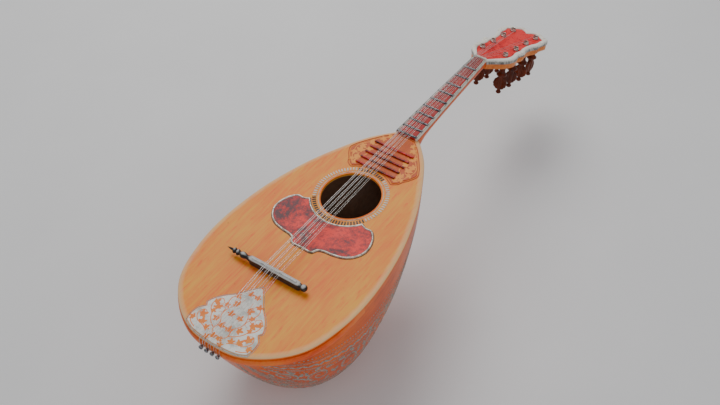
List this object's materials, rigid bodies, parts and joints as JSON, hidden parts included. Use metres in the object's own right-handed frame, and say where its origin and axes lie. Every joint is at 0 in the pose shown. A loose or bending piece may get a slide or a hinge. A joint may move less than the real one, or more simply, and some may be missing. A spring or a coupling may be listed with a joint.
{
  "type": "bowl-back mandolin",
  "caption": "Bowl-back mandolin with a teardrop soundboard, round sound hole, fretted neck, tilted peg head, floating bridge and paired strings.",
  "frame": {"origin": "centre of the bounding box, on the level of the lowest point of the bowl", "axes": "+Z out of the soundboard, with the instrument on its back; +Y along the neck towards the head; +X to the treble side"},
  "size_m": [0.1922, 0.5982, 0.1652],
  "materials": {
    "spruce": "varnished light yellow-orange spruce with fine streaky grain",
    "bowl_wood": "deep orange varnish with silver-grey scrolling inlay",
    "neck_wood": "reddish orange varnish",
    "head_wood": "light orange varnish",
    "inside_wood": "unfinished brown wood",
    "red_board": "streaked red, satin",
    "ivory": "ivory white, worn grey in the hollows",
    "shell_red": "mottled red tortoiseshell",
    "pearl": "pearl white with orange cut-outs",
    "terracotta": "terracotta with light vines",
    "dark_wood": "dark reddish brown, worn",
    "bone": "worn silver-grey bone",
    "silver": "bright drawn wire",
    "dark_metal": "dark grey metal"
  },
  "bodies": {
    "instrument": {"soundboard": "spruce", "bowl_back": "bowl_wood", "tail_clasp": "bowl_wood", "neck_block": "inside_wood", "tail_block": "inside_wood", "brace_upper": "inside_wood", "brace_lower": "inside_wood", "lining_bass": "inside_wood", "lining_treble": "inside_wood", "rosette": "ivory", "pickguard_edge": "silver", "pickguard": "shell_red", "tail_ornament": "pearl", "neck_ornament": "terracotta", "neck": "neck_wood", "fingerboard": "red_board", "binding_bass": "ivory", "binding_treble": "ivory", "nut": "ivory", "head_core": "head_wood", "head_border": "ivory", "head_panel": "red_board", "hitch_pin_1": "dark_metal", "hitch_pin_2": "dark_metal", "hitch_pin_3": "dark_metal", "hitch_pin_4": "dark_metal", "deck_bar_1": "red_board", "deck_bar_2": "red_board", "deck_bar_3": "red_board", "deck_bar_4": "red_board", "deck_bar_5": "red_board", "fret_01": "silver", "fret_02": "silver", "fret_03": "silver", "fret_04": "silver", "fret_05": "silver", "fret_06": "silver", "fret_07": "silver", "fret_08": "silver", "fret_09": "silver", "fret_10": "silver", "string_1": "silver", "string_2": "silver", "string_3": "silver", "string_4": "silver", "string_5": "silver", "string_6": "silver", "string_7": "silver", "string_8": "silver"},
    "bridge": {"bridge": "dark_wood", "bridge_saddle": "bone"},
    "peg_1": {"peg_1": "dark_wood"},
    "peg_2": {"peg_2": "dark_wood"},
    "peg_3": {"peg_3": "dark_wood"},
    "peg_4": {"peg_4": "dark_wood"},
    "peg_5": {"peg_5": "dark_wood"},
    "peg_6": {"peg_6": "dark_wood"},
    "peg_7": {"peg_7": "dark_wood"},
    "peg_8": {"peg_8": "dark_wood"}
  },
  "joints": [
    {"name": "peg_1_turn", "type": "hinge", "parent": "instrument", "child": "peg_1", "pos_m": [-0.0156, 0.20966, 0.14488], "axis": [0, 0.3256, 0.9455], "continuous": true},
    {"name": "peg_2_turn", "type": "hinge", "parent": "instrument", "child": "peg_2", "pos_m": [-0.0156, 0.23377, 0.13658], "axis": [0, 0.3256, 0.9455], "continuous": true},
    {"name": "peg_3_turn", "type": "hinge", "parent": "instrument", "child": "peg_3", "pos_m": [-0.0156, 0.25759, 0.12838], "axis": [0, 0.3256, 0.9455], "continuous": true},
    {"name": "peg_4_turn", "type": "hinge", "parent": "instrument", "child": "peg_4", "pos_m": [-0.0156, 0.28057, 0.12046], "axis": [0, 0.3256, 0.9455], "continuous": true},
    {"name": "peg_5_turn", "type": "hinge", "parent": "instrument", "child": "peg_5", "pos_m": [0.0156, 0.20966, 0.14488], "axis": [0, 0.3256, 0.9455], "continuous": true},
    {"name": "peg_6_turn", "type": "hinge", "parent": "instrument", "child": "peg_6", "pos_m": [0.0156, 0.23377, 0.13658], "axis": [0, 0.3256, 0.9455], "continuous": true},
    {"name": "peg_7_turn", "type": "hinge", "parent": "instrument", "child": "peg_7", "pos_m": [0.0156, 0.25759, 0.12838], "axis": [0, 0.3256, 0.9455], "continuous": true},
    {"name": "peg_8_turn", "type": "hinge", "parent": "instrument", "child": "peg_8", "pos_m": [0.0156, 0.28057, 0.12046], "axis": [0, 0.3256, 0.9455], "continuous": true},
    {"name": "bridge_slide", "type": "slide", "parent": "instrument", "child": "bridge", "axis": [0, 1, 0], "range_m": [-0.0025, 0.0025]}
  ]
}
